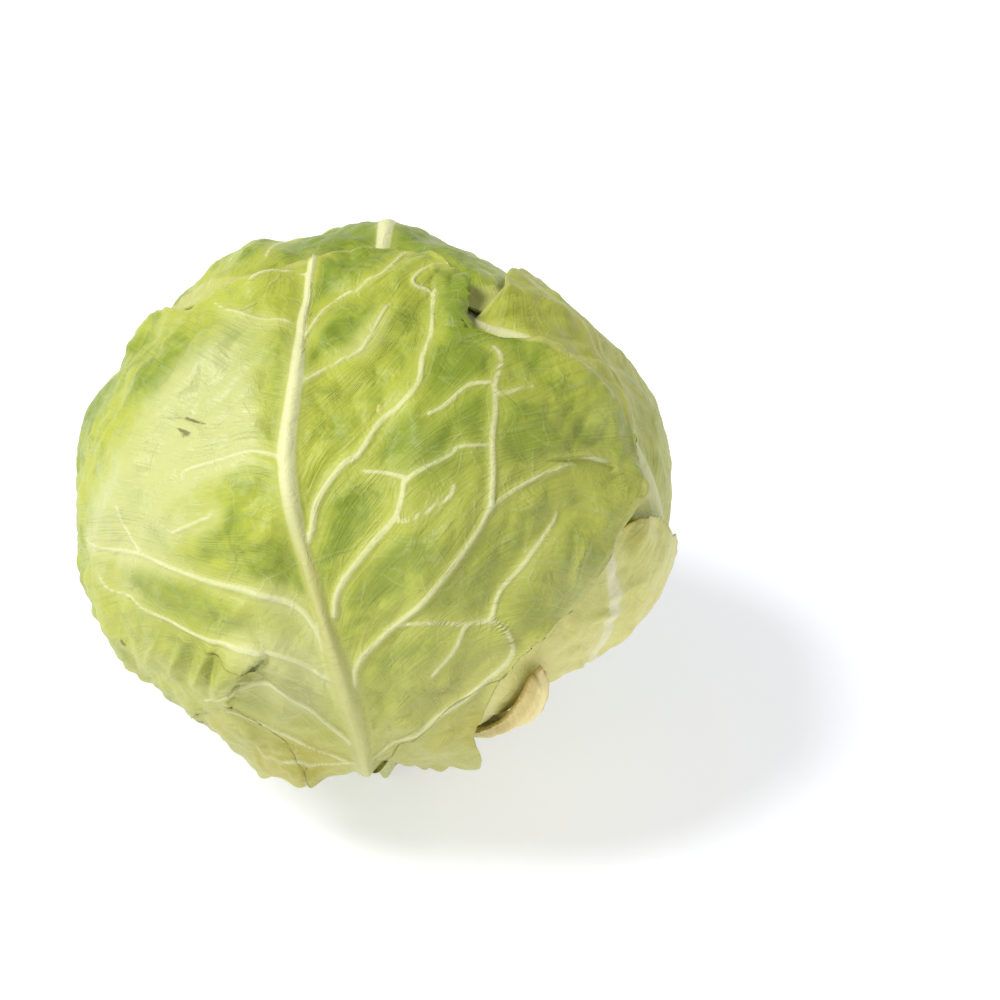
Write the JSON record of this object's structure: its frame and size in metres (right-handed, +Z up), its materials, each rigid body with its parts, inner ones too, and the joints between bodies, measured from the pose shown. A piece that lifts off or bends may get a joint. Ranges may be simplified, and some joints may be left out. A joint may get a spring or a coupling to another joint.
{
  "type": "white cabbage",
  "caption": "Round white cabbage head that stands on its cut stem, wrapped in overlapping pale green leaves with raised pale ribs.",
  "frame": {"origin": "centre of the stem's cut face, on the surface that the head stands on", "axes": "+Z up along the stem, -Y the front, where the largest wrapper leaf lies, and +X the right of someone who looks at that leaf"},
  "size_m": [0.1826, 0.1833, 0.1722],
  "materials": {
    "leaf_green": "satin",
    "leaf_pale": "satin",
    "leaf_yellowing": "satin",
    "petiole": "satin",
    "heart": "satin",
    "stem": "matte"
  },
  "bodies": {
    "root": {"heart": "heart", "leaf_inner_left": "leaf_pale", "leaf_inner_right": "leaf_pale", "leaf_left": "leaf_pale", "leaf_back": "leaf_green", "leaf_right": "leaf_pale", "leaf_low_right": "leaf_yellowing", "leaf_stub": "petiole", "leaf_front": "leaf_green", "stem": "stem"}
  },
  "joints": []
}
